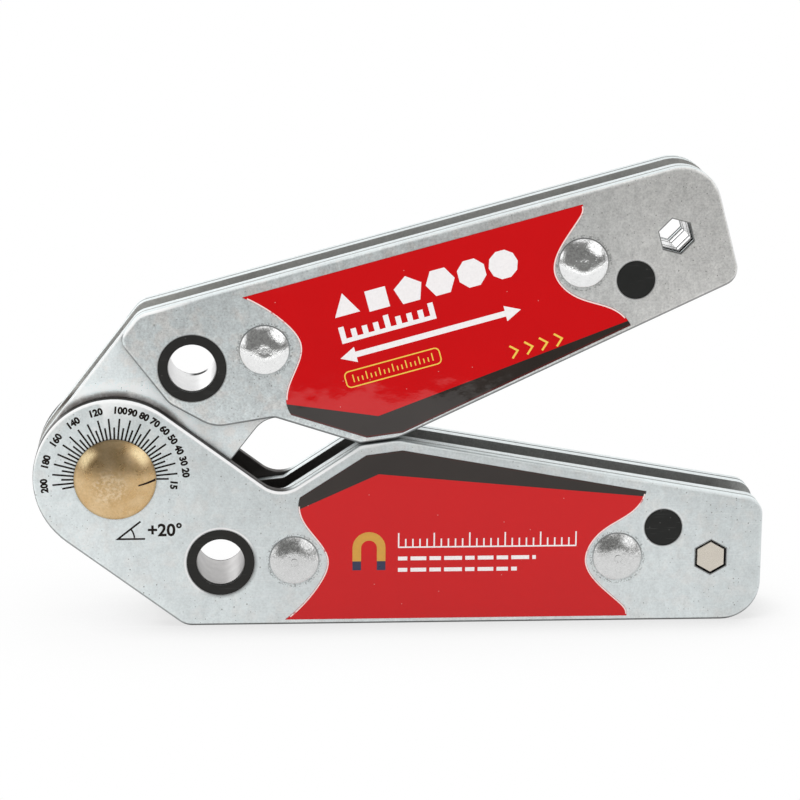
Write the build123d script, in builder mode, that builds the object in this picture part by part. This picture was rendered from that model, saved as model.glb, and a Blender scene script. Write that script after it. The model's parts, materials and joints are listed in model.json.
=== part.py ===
from build123d import *
import os
from math import cos, radians, sin, tan

# Adjustable-angle welding magnet: two tapered magnetic arms on a brass pivot.
# Each arm is a sandwich of steel pole plates round a core of block magnets.
# The base arm's outer plates and the swing arm's inner plates reach the hub,
# so the two arms interleave there and turn past each other from 15 to 200 degrees.
# Frame: millimetres, +Z up, the plates stand in XZ planes and the front faces -Y.
# The base arm rests on Z = 0 and points along +X. The origin is the centre of the footprint.

# ---- driving dimensions ----
HUB_R = 22.6                # round hub end, concentric with the pivot
ARM_REACH = 180.4           # pivot to tip
EDGE_DROP = 42.5            # pivot to the straight outer working edge
TAPER = 10.0                # inner edge against outer edge, degrees
TAPER_RISE = 24.0           # height of the inner edge's line above the pivot
NECK_OUTER_ANGLE = 37.0     # fall of the neck's outer side
NECK_INNER_ANGLE = 36.8     # fall of the neck's inner side
THROAT_RISE_ANGLE = 33.2    # slope from the throat up to the peak
THROAT_X, THROAT_Y = 50.9, -2.0
CLIP_ANGLE = 67.8           # slope of the short plates' end beside the hub
STOP_OPENING = 15.0         # the peaks' facets would touch here
REST_OPENING = 15.3         # closed pose, with the play at the facets

PLATE_T = 3.5               # each pole plate
BASE_HALF = 12.5            # half thickness of the base arm
SWING_HALF = 11.9           # half thickness of the swing arm, clear of the friction washers
EDGE_ROUND = 1.0            # rolled edge of the outer plates
INNER_PLATE_CHAMFER = 0.3
BURR_BREAK = 0.1            # broken edge of the small turned pieces

SLEEVE_AT = (28.8, -24.15)  # hole for the lever bar
SLEEVE_BORE_R = 6.5
SLEEVE_R = 9.35
SLEEVE_HOLE_R = 9.4
RING_BORE_R = 6.7
RING_T = 1.2
RING_PROUD = 0.1
RIVET_AT = ((49.2, -23.8), (139.6, -23.7))
RIVET_HOLE_R = 3.55
RIVET_SHANK_R = 3.5
RIVET_HEAD_R = 6.7
RIVET_HEAD_H = 1.7
RIVET_NUB_R = 0.9
RIVET_NUB_H = 0.25
RIVET_SHOULDER = (0.74, 0.62)   # share of the head's radius and height where it turns down
SPACER_BORE_R = 3.6
SPACER_R = 5.2
DOWEL_AT = (152.35, -15.3)
DOWEL_HOLE_R = 5.3
DOWEL_R = 5.25
DOWEL_PROUD = 0.15
DOWEL_CHAMFER = 0.25
HEX_AT = (166.0, -24.1)
HEX_WINDOW = 8.7            # across flats, in the outer plates
HEX_BORE = 8.3              # across flats, in the bushing
HEX_PLUG = 7.9              # across flats
HEX_TURN = 30               # points up and down, in an arm plane
HEX_PLUG_DEPTH = 0.1        # plug's ends below the faces
HEX_PLUG_CHAMFER = 0.25
HEX_BUSH_R = 6.6
HEX_BUSH_HOLE_R = 6.65

PIVOT_PIN_R = 6.0
PIVOT_PRESS_R = 6.02        # hole in the parts that turn with the pin
PIVOT_RUNNING_R = 6.06      # hole in the parts that the pin turns in
PIVOT_DOME_R = 11.3
PIVOT_DOME_H = 3.0
PIVOT_RIM_H = 0.35          # straight rim under the dome
PIVOT_SHOULDER = (0.72, 0.58)   # share of the dome's radius and height where it turns down
PIVOT_TENON_R = 4.0
PIVOT_TENON_L = 1.6
TENON_PRESS_GAP = 0.02
TENON_END_GAP = 0.1
PIVOT_LIFT = 0.05           # running gap under the domes
PIVOT_SPACER_R = 11.0
WASHER_R = 19.0
WASHER_T = 0.5

CORE_RECESS = 4.0           # core edge behind the plates' edges
CORE_START_X = 41.0
CORE_GAP = 0.02             # fit between the core and the plates
CORE_TIP_ROUND = 8.0
MAGNET_X = (70.0, 94.0, 118.0)
MAGNET_Y = -21.0
MAGNET_W, MAGNET_H = 21.0, 30.0
MAGNET_GAP = 0.1
MAGNET_CORNER = 0.8

LABEL_T = 0.12
LABEL_RIVET_GAP = 0.4
LABEL_SHIFT = {"base": (-0.3, -0.7), "swing": (0.3, 0.7)}    # the films are not placed quite alike
LABEL_HEEL = (47.0, -40.2)
LABEL_TIP_CURVE = (
    (142.9, -40.2), (142.8, -38.6), (140.9, -36.2), (137.2, -32.9),
    (131.2, -24.0), (134.6, -16.6), (144.3, -9.8), (147.6, -4.1),
)
LABEL_PEAK = ((79.5, 8.2), (69.5, 6.9))
LABEL_NECK_CURVE = ((51.1, -5.0), (52.2, -12.6), (58.7, -23.5), (56.4, -29.8), LABEL_HEEL)

# ---- derived values ----
PIVOT_X = (HUB_R - ARM_REACH) / 2
PIVOT_Z = EDGE_DROP
GAP_HALF = {"base": BASE_HALF - 2 * PLATE_T, "swing": SWING_HALF - 2 * PLATE_T}
HALF = {"base": BASE_HALF, "swing": SWING_HALF}
PIVOT = Vector(PIVOT_X, 0, PIVOT_Z)
OPEN_DIRECTION = (cos(radians(REST_OPENING)), 0, sin(radians(REST_OPENING)))
# Arm planes: local x runs from the pivot to the tip and local y towards the other arm.
ARM = {
    "base": Plane(origin=PIVOT, x_dir=(1, 0, 0), z_dir=(0, -1, 0)),
    "swing": Plane(origin=PIVOT, x_dir=OPEN_DIRECTION, z_dir=(0, 1, 0)),
}


def layer(arm, y):
    """The arm's plane, moved to a world y."""
    plane = ARM[arm]
    return Plane(origin=plane.origin + Vector(0, y, 0), x_dir=plane.x_dir, z_dir=plane.z_dir)


def turning_plane(arm, spot):
    """A plane through a pin's centreline: local x is radial and local y is world y."""
    centre = ARM[arm].from_local_coords((*spot, 0))
    return Plane(origin=centre, x_dir=(1, 0, 0), z_dir=(0, 0, 1))


def polar(radius, angle):
    return (radius * cos(radians(angle)), radius * sin(radians(angle)))


def line_at(point, angle):
    """A line as (point, direction) in an arm plane."""
    return point, (cos(radians(angle)), sin(radians(angle)))


def meet(first, second):
    """Where two lines cross."""
    (px, py), (ax, ay) = first
    (qx, qy), (bx, by) = second
    along = ((qx - px) * by - (qy - py) * bx) / (ax * by - ay * bx)
    return (px + along * ax, py + along * ay)


# ---- outline of an arm, in its own plane ----
OUTER_EDGE = line_at((0, -EDGE_DROP), 0)
INNER_EDGE = line_at((0, TAPER_RISE), -TAPER)
TIP_END = line_at((ARM_REACH, 0), 90)
STOP_FACET = line_at((0, 0), STOP_OPENING / 2)
THROAT_RISE = line_at((THROAT_X, THROAT_Y), THROAT_RISE_ANGLE)
NECK_OUTER_TANGENT = polar(HUB_R, -90 - NECK_OUTER_ANGLE)
NECK_INNER_TANGENT = polar(HUB_R, 90 - NECK_INNER_ANGLE)
NECK_OUTER = line_at(NECK_OUTER_TANGENT, -NECK_OUTER_ANGLE)
NECK_INNER = line_at(NECK_INNER_TANGENT, -NECK_INNER_ANGLE)

HEEL = meet(NECK_OUTER, OUTER_EDGE)
TIP_OUTER = meet(OUTER_EDGE, TIP_END)
TIP_INNER = meet(INNER_EDGE, TIP_END)
PEAK_TIPWARD = meet(INNER_EDGE, STOP_FACET)
PEAK_HUBWARD = meet(THROAT_RISE, STOP_FACET)
THROAT = meet(NECK_INNER, THROAT_RISE)
# The short plates stop clear of the other arm's hub and neck at both ends of the swing.
CLIP_WAIST = (20.0, -16.2)
CLIP_HEEL = meet(NECK_OUTER, line_at(CLIP_WAIST, CLIP_ANGLE))
CLIP_SHOULDER = (29.9, -6.4)
CLIP_THROAT = (46.7, -4.7)
TIP_AND_PEAK = (HEEL, TIP_OUTER, TIP_INNER, PEAK_TIPWARD, PEAK_HUBWARD)
SHORT_CORNERS = (CLIP_HEEL, *TIP_AND_PEAK, CLIP_THROAT, CLIP_SHOULDER, CLIP_WAIST)
# Corner rounds as (corner, radius).
END_ROUNDS = ((HEEL, 6.0), (TIP_OUTER, 11.0), (TIP_INNER, 5.0), (PEAK_TIPWARD, 8.0), (PEAK_HUBWARD, 3.0))
HUB_ROUNDS = END_ROUNDS + ((THROAT, 8.0),)
CLIP_ROUNDS = ((CLIP_HEEL, 4.5), (CLIP_WAIST, 6.0), (CLIP_SHOULDER, 10.0), (CLIP_THROAT, 3.0))


def round_corner(sketch, point, radius):
    fillet(sketch.vertices().sort_by_distance((*point, 0))[0], radius)


def hub_outline():
    """Outline of the plates that reach the pivot."""
    with BuildSketch() as outline:
        with BuildLine():
            Polyline((0, 0), NECK_OUTER_TANGENT, *TIP_AND_PEAK, THROAT, NECK_INNER_TANGENT, close=True)
        make_face()
        Circle(HUB_R)
        for point, radius in HUB_ROUNDS:
            round_corner(outline, point, radius)
    return outline.sketch


def short_outline():
    """Outline of the plates that stop short of the hub."""
    with BuildSketch() as outline:
        with BuildLine():
            Polyline(*SHORT_CORNERS, close=True)
        make_face()
        for point, radius in END_ROUNDS + CLIP_ROUNDS:
            round_corner(outline, point, radius)
    return outline.sketch


def core_outline():
    """Outline of the magnet carrier, set back from the plates' edges on every side."""
    with BuildSketch() as outline:
        with BuildLine():
            Polyline(*SHORT_CORNERS, close=True)
        make_face()
        offset(amount=-CORE_RECESS, kind=Kind.INTERSECTION)
        with Locations((CORE_START_X, 0)):
            Rectangle(2 * ARM_REACH, 4 * EDGE_DROP, align=(Align.MIN, Align.CENTER), mode=Mode.INTERSECT)
        round_corner(outline, (ARM_REACH - CORE_RECESS, -EDGE_DROP + CORE_RECESS), CORE_TIP_ROUND)
    return outline.sketch


def label_outline():
    """Printed film: follows the arm's edges and curves round both rivet heads."""
    with BuildSketch() as outline:
        with BuildLine():
            Line(LABEL_HEEL, LABEL_TIP_CURVE[0])
            Spline(*LABEL_TIP_CURVE)
            Polyline(LABEL_TIP_CURVE[-1], *LABEL_PEAK, LABEL_NECK_CURVE[0])
            Spline(*LABEL_NECK_CURVE)
        make_face()
    return outline.sketch


def hexagon(across_flats, mode):
    RegularPolygon(across_flats / 2, 6, major_radius=False, rotation=HEX_TURN, mode=mode)


def pole_plate(name, arm, outline, y_inside, y_outside, hub_hole_r, hex_cut):
    """One pole plate between two world y values, with the holes for what passes through it."""
    middle = (y_inside + y_outside) / 2
    with BuildPart() as plate:
        with BuildSketch(layer(arm, middle)):
            add(outline)
            if hub_hole_r:
                Circle(hub_hole_r, mode=Mode.SUBTRACT)
            with Locations(SLEEVE_AT):
                Circle(SLEEVE_HOLE_R, mode=Mode.SUBTRACT)
            with Locations(*RIVET_AT):
                Circle(RIVET_HOLE_R, mode=Mode.SUBTRACT)
            with Locations(DOWEL_AT):
                Circle(DOWEL_HOLE_R, mode=Mode.SUBTRACT)
            with Locations(HEX_AT):
                if hex_cut:
                    hexagon(HEX_WINDOW, Mode.SUBTRACT)
                else:
                    Circle(HEX_BUSH_HOLE_R, mode=Mode.SUBTRACT)
        extrude(amount=PLATE_T / 2, both=True)
        outside = plate.faces().sort_by(Axis.Y)[-1 if y_outside > 0 else 0]
        if hex_cut:
            fillet(outside.outer_wire().edges(), EDGE_ROUND)
        else:
            chamfer(outside.outer_wire().edges(), INNER_PLATE_CHAMFER)
    finish(plate, name)


def finish(piece, name):
    piece.part.label = name
    export_step(piece.part, f"parts/{name}.step")


def arm_plates(arm, outer_outline, inner_outline, outer_hub_r, inner_hub_r):
    for side, sign in (("front", -1), ("rear", 1)):
        outside = sign * HALF[arm]
        seam = sign * (HALF[arm] - PLATE_T)
        inside = sign * GAP_HALF[arm]
        pole_plate(f"{arm}_outer_plate_{side}", arm, outer_outline, seam, outside, outer_hub_r, True)
        pole_plate(f"{arm}_inner_plate_{side}", arm, inner_outline, inside, seam, inner_hub_r, False)


def arm_core(arm):
    """Moulded carrier with pockets for the magnets and holes for everything that crosses the gap."""
    depth = GAP_HALF[arm] - CORE_GAP
    pocket = (MAGNET_W + 2 * MAGNET_GAP, MAGNET_H + 2 * MAGNET_GAP)
    with BuildPart() as core:
        with BuildSketch(layer(arm, 0)):
            add(core_outline())
            with Locations(*[(x, MAGNET_Y) for x in MAGNET_X]):
                Rectangle(*pocket, mode=Mode.SUBTRACT)
            with Locations(*RIVET_AT):
                Circle(SPACER_R + MAGNET_GAP, mode=Mode.SUBTRACT)
            with Locations(DOWEL_AT):
                Circle(DOWEL_HOLE_R, mode=Mode.SUBTRACT)
            with Locations(HEX_AT):
                Circle(HEX_BUSH_HOLE_R, mode=Mode.SUBTRACT)
        extrude(amount=depth, both=True)
    finish(core, f"{arm}_magnet_carrier")


def arm_magnets(arm):
    with BuildPart() as magnets:
        with BuildSketch(layer(arm, 0)):
            with Locations(*[(x, MAGNET_Y) for x in MAGNET_X]):
                RectangleRounded(MAGNET_W, MAGNET_H, MAGNET_CORNER)
        extrude(amount=GAP_HALF[arm] - CORE_GAP, both=True)
    finish(magnets, f"{arm}_magnets")


def tube(name, arm, spots, bore_r, outside_r, half_length):
    """Plain tubes across the gap, one at each spot."""
    with BuildPart() as tubes:
        with BuildSketch(layer(arm, 0)):
            with Locations(*spots):
                Circle(outside_r)
                Circle(bore_r, mode=Mode.SUBTRACT)
        extrude(amount=half_length, both=True)
    finish(tubes, name)


def arm_sleeve_rings(arm):
    """Two insulating rings that cover the sleeve's ends, flush with the plates."""
    with BuildPart() as rings:
        for sign in (-1, 1):
            with BuildSketch(layer(arm, sign * (HALF[arm] - RING_T / 2 + RING_PROUD / 2))):
                with Locations(SLEEVE_AT):
                    Circle(SLEEVE_R)
                    Circle(RING_BORE_R, mode=Mode.SUBTRACT)
            extrude(amount=(RING_T + RING_PROUD) / 2, both=True)
        rims = rings.edges().filter_by(GeomType.CIRCLE).group_by(Axis.Y)
        chamfer(rims[0] + rims[-1], BURR_BREAK)
    finish(rings, f"{arm}_sleeve_rings")


def rivet_section(shank_end):
    """Half section of a rivet from its middle to one head: local x is radial, local y runs along it."""
    crown = shank_end + RIVET_HEAD_H
    nub = crown + RIVET_NUB_H
    shoulder = (RIVET_HEAD_R * RIVET_SHOULDER[0], shank_end + RIVET_HEAD_H * RIVET_SHOULDER[1])
    with BuildSketch() as section:
        with BuildLine():
            Polyline((0, 0), (RIVET_SHANK_R, 0), (RIVET_SHANK_R, shank_end), (RIVET_HEAD_R, shank_end))
            ThreePointArc((RIVET_HEAD_R, shank_end), shoulder, (RIVET_NUB_R, crown))
            Polyline((RIVET_NUB_R, crown), (RIVET_NUB_R, nub), (0, nub), (0, 0))
        make_face()
    return section.sketch


def arm_rivets(arm):
    """Solid rivets with a low round head and a small nub on both faces."""
    with BuildPart() as rivets:
        for spot in RIVET_AT:
            with BuildSketch(turning_plane(arm, spot)):
                add(rivet_section(HALF[arm]))
                mirror(about=Plane.XZ)
            centre = ARM[arm].from_local_coords((*spot, 0))
            revolve(axis=Axis(centre, (0, 1, 0)))
    finish(rivets, f"{arm}_rivets")


def arm_dowel(arm):
    with BuildPart() as dowel:
        with BuildSketch(layer(arm, 0)):
            with Locations(DOWEL_AT):
                Circle(DOWEL_R)
        extrude(amount=HALF[arm] + DOWEL_PROUD, both=True)
        rims = dowel.edges().filter_by(GeomType.CIRCLE).group_by(Axis.Y)
        chamfer(rims[0] + rims[-1], DOWEL_CHAMFER)
    finish(dowel, f"{arm}_tip_dowel")


def arm_hex_bushing(arm):
    """Round bushing with a hexagonal bore, held between the outer plates."""
    with BuildPart() as bushing:
        with BuildSketch(layer(arm, 0)):
            with Locations(HEX_AT):
                Circle(HEX_BUSH_R)
                hexagon(HEX_BORE, Mode.SUBTRACT)
        extrude(amount=HALF[arm] - PLATE_T - CORE_GAP, both=True)
    finish(bushing, f"{arm}_hex_bushing")


def arm_labels(arm):
    for side, sign in (("front", -1), ("rear", 1)):
        middle = sign * (HALF[arm] + LABEL_T / 2)
        with BuildPart() as film:
            with BuildSketch(layer(arm, middle)):
                with Locations(LABEL_SHIFT[arm]):
                    add(label_outline())
                with Locations(*RIVET_AT):
                    Circle(RIVET_HEAD_R + LABEL_RIVET_GAP, mode=Mode.SUBTRACT)
            extrude(amount=LABEL_T / 2, both=True)
        finish(film, f"{arm}_label_{side}")


def hex_plug():
    """Solid hexagon bar left in the base arm's hexagonal bore."""
    with BuildPart() as plug:
        with BuildSketch(layer("base", 0)):
            with Locations(HEX_AT):
                hexagon(HEX_PLUG, Mode.ADD)
        extrude(amount=BASE_HALF - HEX_PLUG_DEPTH, both=True)
        ends = plug.faces().filter_by(Axis.Y)
        chamfer(ends.edges(), HEX_PLUG_CHAMFER)
    finish(plug, "base_hex_plug")


def dome_section(outward):
    """Half section of a brass dome on the base arm's face: local x is radial, `outward` is its side in y."""
    seat = outward * (BASE_HALF + PIVOT_LIFT)
    rim = seat + outward * PIVOT_RIM_H
    crown = seat + outward * PIVOT_DOME_H
    shoulder = (PIVOT_DOME_R * PIVOT_SHOULDER[0], seat + outward * PIVOT_DOME_H * PIVOT_SHOULDER[1])
    with BuildSketch() as section:
        with BuildLine():
            ThreePointArc((0, crown), shoulder, (PIVOT_DOME_R, rim))
            Polyline((PIVOT_DOME_R, rim), (PIVOT_DOME_R, seat), (0, seat), (0, crown))
        make_face()
    return section.sketch


def pivot_pin():
    """Brass pin: domed head in front, a plain shaft, and a tenon for the rear cap."""
    shaft_end = BASE_HALF + PIVOT_LIFT
    with BuildPart() as pin:
        with BuildSketch(turning_plane("base", (0, 0))):
            add(dome_section(-1))
            Rectangle(PIVOT_PIN_R, 2 * shaft_end, align=(Align.MIN, Align.CENTER))
            with Locations((0, shaft_end)):
                Rectangle(PIVOT_TENON_R, PIVOT_TENON_L, align=(Align.MIN, Align.MIN))
        revolve(axis=Axis(PIVOT, (0, 1, 0)))
    finish(pin, "pivot_pin")


def pivot_rear_cap():
    """Brass cap pressed on the pin's tenon."""
    socket = (PIVOT_TENON_R + TENON_PRESS_GAP, PIVOT_TENON_L + TENON_END_GAP)
    with BuildPart() as cap:
        with BuildSketch(turning_plane("base", (0, 0))):
            add(dome_section(1))
            with Locations((0, BASE_HALF + PIVOT_LIFT)):
                Rectangle(*socket, align=(Align.MIN, Align.MIN), mode=Mode.SUBTRACT)
        revolve(axis=Axis(PIVOT, (0, 1, 0)))
    finish(cap, "pivot_rear_cap")


def pivot_spacer():
    """Steel bush that keeps the swing arm's two tongues apart."""
    with BuildPart() as spacer:
        with BuildSketch(layer("swing", 0)):
            Circle(PIVOT_SPACER_R)
            Circle(PIVOT_PRESS_R, mode=Mode.SUBTRACT)
        extrude(amount=GAP_HALF["swing"] - CORE_GAP, both=True)
    finish(spacer, "pivot_spacer")


def friction_washers():
    """Two fibre washers between the tongues and the base arm's outer plates."""
    middle = (BASE_HALF - PLATE_T + SWING_HALF - PLATE_T) / 2
    with BuildPart() as washers:
        for sign in (-1, 1):
            with BuildSketch(layer("base", sign * middle)):
                Circle(WASHER_R)
                Circle(PIVOT_RUNNING_R, mode=Mode.SUBTRACT)
            extrude(amount=WASHER_T / 2, both=True)
    finish(washers, "friction_washers")


def build_arm(arm):
    arm_core(arm)
    arm_magnets(arm)
    tube(f"{arm}_rivet_spacers", arm, RIVET_AT, SPACER_BORE_R, SPACER_R, GAP_HALF[arm] - CORE_GAP)
    tube(f"{arm}_lever_sleeve", arm, (SLEEVE_AT,), SLEEVE_BORE_R, SLEEVE_R, HALF[arm] - RING_T)
    arm_sleeve_rings(arm)
    arm_rivets(arm)
    arm_dowel(arm)
    arm_hex_bushing(arm)
    arm_labels(arm)


os.makedirs("parts", exist_ok=True)
arm_plates("base", hub_outline(), short_outline(), PIVOT_RUNNING_R, None)
arm_plates("swing", short_outline(), hub_outline(), None, PIVOT_PRESS_R)
for arm_name in ("base", "swing"):
    build_arm(arm_name)
hex_plug()
pivot_pin()
pivot_rear_cap()
pivot_spacer()
friction_washers()
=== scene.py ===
import bmesh
import bpy
import json
from math import atan2, cos, degrees, pi, radians, sin
from mathutils import Matrix, Vector
from mathutils.bvhtree import BVHTree


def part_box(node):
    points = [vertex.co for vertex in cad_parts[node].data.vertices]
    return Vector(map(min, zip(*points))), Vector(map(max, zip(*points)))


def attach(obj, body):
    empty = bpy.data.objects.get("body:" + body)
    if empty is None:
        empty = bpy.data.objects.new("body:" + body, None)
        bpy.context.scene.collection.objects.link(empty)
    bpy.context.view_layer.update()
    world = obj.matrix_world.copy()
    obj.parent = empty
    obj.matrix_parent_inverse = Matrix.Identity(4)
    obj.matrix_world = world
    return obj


# Looks for the adjustable-angle welding magnet: studio, procedural materials,
# printed graphics on the films, the dial's marks and the pointer.

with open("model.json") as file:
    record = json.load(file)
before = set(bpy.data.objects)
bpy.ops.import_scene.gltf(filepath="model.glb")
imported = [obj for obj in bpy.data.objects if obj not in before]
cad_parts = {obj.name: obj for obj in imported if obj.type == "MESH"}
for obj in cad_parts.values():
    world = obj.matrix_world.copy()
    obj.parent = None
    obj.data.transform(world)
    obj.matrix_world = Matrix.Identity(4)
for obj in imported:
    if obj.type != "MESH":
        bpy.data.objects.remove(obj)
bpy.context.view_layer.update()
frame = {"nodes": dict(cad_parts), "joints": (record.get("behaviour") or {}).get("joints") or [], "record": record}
nodes = frame["nodes"]
record = frame["record"]

# ---- places, in metres, from the frame ----
MM = 0.001
PIVOT = Vector(frame["joints"][0]["pos_m"])
MOUNTS = {mount["name"]: mount for mount in record["mounts"]}
OUTER_NORMAL = MOUNTS["swing_outer_edge"]["axis"]
REST_OPENING = atan2(-OUTER_NORMAL[0], OUTER_NORMAL[2])
# Arm directions: along the arm, and across it towards the other arm.
ARM_AXES = {
    "base": (Vector((1, 0, 0)), Vector((0, 0, 1))),
    "swing": (
        Vector((cos(REST_OPENING), 0, sin(REST_OPENING))),
        Vector((sin(REST_OPENING), 0, -cos(REST_OPENING))),
    ),
}
BODY = {"base": "base_arm", "swing": "swing_arm"}
SIDES = {"front": -1, "rear": 1}    # the way each side faces along y
FILM_FACE = {
    (arm, side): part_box(f"{arm}_label_{side}")[0 if side == "front" else 1].y
    for arm in BODY
    for side in SIDES
}
PLATE_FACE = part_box("base_outer_plate_front")[0].y
PLATE_HALF = {arm: -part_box(f"{arm}_outer_plate_front")[0].y / MM for arm in BODY}
PLATE_SEAM = {arm: -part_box(f"{arm}_outer_plate_front")[1].y / MM for arm in BODY}
DOME_R = (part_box("pivot_pin")[1].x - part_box("pivot_pin")[0].x) / 2
RIVET_HEAD_R = 6.7 * MM
HUB_R = (PIVOT.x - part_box("base_outer_plate_front")[0].x) / MM


def rivet_centres(arm):
    """Arm millimetres of the two rivets, from the corners of their node's box."""
    low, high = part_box(f"{arm}_rivets")
    ends = (
        Vector((low.x + RIVET_HEAD_R, 0, low.z + RIVET_HEAD_R)),
        Vector((high.x - RIVET_HEAD_R, 0, high.z - RIVET_HEAD_R)),
    )
    return [tuple((end - PIVOT).dot(axis) / MM for axis in ARM_AXES[arm]) for end in ends]


def disc_place(arm, node):
    """Arm millimetres of a round node's centre, and its radius."""
    low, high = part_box(node)
    middle = (low + high) / 2
    x, y = ((middle - PIVOT).dot(axis) / MM for axis in ARM_AXES[arm])
    return x, y, (high.x - low.x) / 2 / MM


def hex_centre(arm):
    return disc_place(arm, f"{arm}_hex_bushing")[:2]


def height_on(arm, x, y):
    """Height above the table, in millimetres, of a point given in arm millimetres."""
    along, across = ARM_AXES[arm]
    return PIVOT.z / MM + along.z * x + across.z * y


# ---- colours ----
def srgb(code):
    """Linear colour from a hex code."""
    parts = [int(code[i:i + 2], 16) / 255 for i in (0, 2, 4)]
    return tuple(c / 12.92 if c <= 0.04045 else ((c + 0.055) / 1.055) ** 2.4 for c in parts)


ZINC = (0.80, 0.855, 0.86)
ZINC_WARM = (0.85, 0.84, 0.815)
ZINC_GREY = (0.62, 0.64, 0.64)
RIM_BLACK = srgb("302a26")
INK = srgb("1c1511")
FILM_RED = (0.57, 0.0025, 0.0045)
FILM_BLACK = (0.026, 0.020, 0.017)
FILM_BORDER = (0.20, 0.006, 0.006)
FILM_DUST = (0.75, 0.6, 0.58)
FILM_PAPER = srgb("f3dcd8")
PAPER_STAINED = srgb("c8565a")
MOULDING_EDGE = (0.004, 0.004, 0.004)
MOULDING_NICK = (0.16, 0.155, 0.15)
MOULDING_SCUFF = (0.12, 0.118, 0.115)
BAND_SHADE = (0.03, 0.03, 0.03)
PRINT_WHITE = srgb("f1eeee")
PRINT_YELLOW = srgb("f0c94a")
PRINT_OCHRE = srgb("cf9a3a")
PRINT_NAVY = srgb("2a2d4c")
POINTER_DARK = srgb("1d120e")

MASK_SAMPLES = 6            # rays for each edge or shade mask


# ---- node building ----
class NodeBuilder:
    """Adds nodes to a shader tree. Its methods return output sockets."""

    def __init__(self, tree):
        self.tree = tree
        tree.nodes.clear()

    def add(self, kind, **inputs):
        node = self.tree.nodes.new(kind)
        for key, value in inputs.items():
            self.put(node.inputs[key.replace("_", " ")], value)
        return node

    def put(self, socket, value):
        if isinstance(value, bpy.types.NodeSocket):
            self.tree.links.new(value, socket)
        elif isinstance(value, tuple) and len(value) == 3 and socket.type == "RGBA":
            socket.default_value = (*value, 1.0)
        else:
            socket.default_value = value

    def operate(self, kind, operation, values):
        node = self.add(kind)
        node.operation = operation
        for socket, value in zip(node.inputs, values):
            self.put(socket, value)
        return node

    def math(self, operation, *values):
        return self.operate("ShaderNodeMath", operation, values).outputs[0]

    def dot(self, first, second):
        return self.operate("ShaderNodeVectorMath", "DOT_PRODUCT", (first, second)).outputs["Value"]

    def length(self, vector):
        return self.operate("ShaderNodeVectorMath", "LENGTH", (vector,)).outputs["Value"]

    def minus(self, vector, offset):
        return self.operate("ShaderNodeVectorMath", "SUBTRACT", (vector, offset)).outputs[0]

    def product(self, *values):
        result = values[0]
        for value in values[1:]:
            result = self.math("MULTIPLY", result, value)
        return result

    def fit(self, value, gain, level):
        """Value times gain plus level."""
        return self.math("MULTIPLY_ADD", value, gain, level)

    def around(self, value, gain, level):
        """A 0 to 1 pattern as a change of half the gain up or down from a level."""
        return self.fit(self.math("SUBTRACT", value, 0.5), gain, level)

    def invert(self, mask):
        return self.math("SUBTRACT", 1.0, mask)

    def highest(self, first, second):
        return self.math("MAXIMUM", first, second)

    def lowest(self, first, second):
        return self.math("MINIMUM", first, second)

    def step(self, value, start, end, low=0.0, high=1.0):
        """Smooth step of a value from start to end."""
        node = self.add("ShaderNodeMapRange", Value=value)
        node.interpolation_type = "SMOOTHSTEP"
        for key, number in (("From Min", start), ("From Max", end), ("To Min", low), ("To Max", high)):
            self.put(node.inputs[key], number)
        return node.outputs[0]

    def peak(self, value, centre, half):
        """Mask of the values within `half` of a centre."""
        away = self.math("ABSOLUTE", self.math("SUBTRACT", value, centre))
        return self.step(away, half, 0.4 * half)

    def mix(self, factor, first, second, blend="MIX"):
        node = self.add("ShaderNodeMix")
        node.data_type = "RGBA"
        node.blend_type = blend
        # Sockets 6 and 7 are the two colours, beside those of the other data types.
        for index, value in ((0, factor), (6, first), (7, second)):
            self.put(node.inputs[index], value)
        return node.outputs[2]

    def paint(self, colour, mask, strength, over):
        """Lays a colour over another where a mask is, at some strength."""
        return self.mix(self.math("MULTIPLY", mask, strength), colour, over)

    def brighten(self, colour, amount):
        """Colour times a grey factor."""
        grey = self.add("ShaderNodeCombineColor", Red=amount, Green=amount, Blue=amount).outputs[0]
        return self.mix(1.0, colour, grey, "MULTIPLY")


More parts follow.
